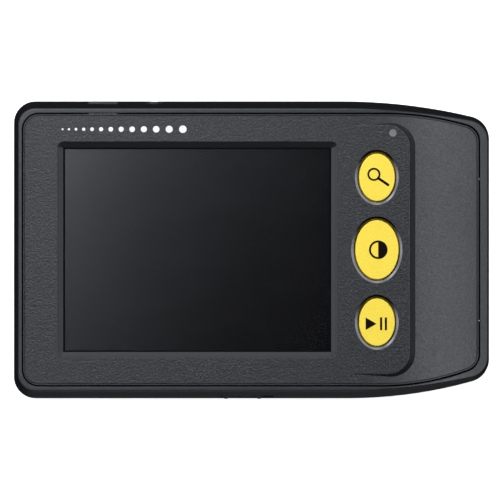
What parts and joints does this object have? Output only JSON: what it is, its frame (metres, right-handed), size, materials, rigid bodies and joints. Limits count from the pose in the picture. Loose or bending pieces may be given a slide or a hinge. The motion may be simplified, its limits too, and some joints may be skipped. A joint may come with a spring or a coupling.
{
  "type": "handheld video magnifier",
  "caption": "Handheld electronic magnifier with a flat screen, oval thumb buttons, a rear camera, a fold-out stand and a sliding battery cover.",
  "frame": {"origin": "centre of the footprint, on the plane the rubber feet stand on", "axes": "+X along the long side from the screen to the thumb grip, +Y towards the screen's upper edge, +Z out of the screen"},
  "size_m": [0.128, 0.0801, 0.026],
  "materials": {
    "front_shell": "fine sparkle texture, charcoal grey",
    "rear_shell": "fine spark texture, dark grey",
    "door_shell": "fine spark texture, dark grey",
    "window": "hard coated, clear",
    "gasket": "foam, black",
    "display": "dark switched-off screen",
    "display_tray": "plain stamped",
    "flat_cable": "amber film",
    "connector": "natural moulding",
    "circuit_board": "green solder mask",
    "screw_steel": "blackened",
    "switch_body": "moulded",
    "chip": "moulded epoxy",
    "coil": "ferrite",
    "capacitor": "drawn can",
    "buzzer_body": "moulded",
    "lamp": "white lamp with yellow phosphor",
    "light_pipe": "frosted",
    "barrel": "blackened",
    "lens": "coated",
    "rear_window": "clear",
    "battery": "printed film",
    "contact_metal": "gold plated",
    "stand_plastic": "satin",
    "pad_rubber": "soft",
    "pin_steel": "ground",
    "button_cap": "yellow satin, printed symbol",
    "plunger": "moulded",
    "switch_knob": "satin",
    "socket_metal": "plated",
    "socket_black": "moulded",
    "foam": "foam"
  },
  "bodies": {
    "housing": {"av_socket": "socket_black", "battery_contact_block": "socket_black", "battery_contacts": "contact_metal", "battery_pack": "battery", "board_capacitors": "capacitor", "board_coils": "coil", "board_screws": "screw_steel", "button_switches": "switch_body", "buzzer": "buzzer_body", "camera_board": "circuit_board", "camera_connector": "connector", "camera_cover": "rear_window", "camera_flex": "flat_cable", "camera_holder": "barrel", "camera_lens": "lens", "camera_lens_barrel": "barrel", "front_housing": "front_shell", "housing_screws": "screw_steel", "illumination_leds": "lamp", "indicator_led": "lamp", "indicator_light_pipe": "light_pipe", "lcd_backlight": "display_tray", "lcd_connector": "connector", "lcd_flex": "flat_cable", "lcd_panel": "display", "lens_hood": "barrel", "main_board": "circuit_board", "memory_chip": "chip", "power_chips": "chip", "power_switch": "socket_metal", "processor_chip": "chip", "rear_housing": "rear_shell", "rubber_feet": "pad_rubber", "screen_gasket": "gasket", "screen_pads": "foam", "screen_window": "window", "stand_pins": "pin_steel", "usb_socket": "socket_metal"},
    "zoom_key": {"zoom_button": "button_cap", "zoom_plunger": "plunger"},
    "contrast_key": {"contrast_button": "button_cap", "contrast_plunger": "plunger"},
    "freeze_key": {"freeze_button": "button_cap", "freeze_plunger": "plunger"},
    "power_slider": {"power_knob": "switch_knob", "power_lever": "plunger"},
    "battery_door": {"battery_cover": "door_shell"},
    "stand": {"stand_frame": "stand_plastic", "stand_pad": "pad_rubber"}
  },
  "joints": [
    {"name": "zoom_key_press", "type": "slide", "parent": "housing", "child": "zoom_key", "axis": [0, 0, -1], "range_m": [0, 0.0005], "stiffness_N_per_m": 800, "springref_m": -0.0005},
    {"name": "contrast_key_press", "type": "slide", "parent": "housing", "child": "contrast_key", "axis": [0, 0, -1], "range_m": [0, 0.0005], "stiffness_N_per_m": 800, "springref_m": -0.0005},
    {"name": "freeze_key_press", "type": "slide", "parent": "housing", "child": "freeze_key", "axis": [0, 0, -1], "range_m": [0, 0.0005], "stiffness_N_per_m": 800, "springref_m": -0.0005},
    {"name": "power_slide", "type": "slide", "parent": "housing", "child": "power_slider", "axis": [1, 0, 0], "range_m": [0, 0.0025]},
    {"name": "battery_door_slide", "type": "slide", "parent": "housing", "child": "battery_door", "axis": [1, 0, 0], "range_m": [0, 0.056]},
    {"name": "stand_hinge", "type": "hinge", "parent": "housing", "child": "stand", "pos_m": [-0.018, 0.0305, 0.003], "axis": [1, 0, 0], "range_deg": [0, 100]}
  ]
}
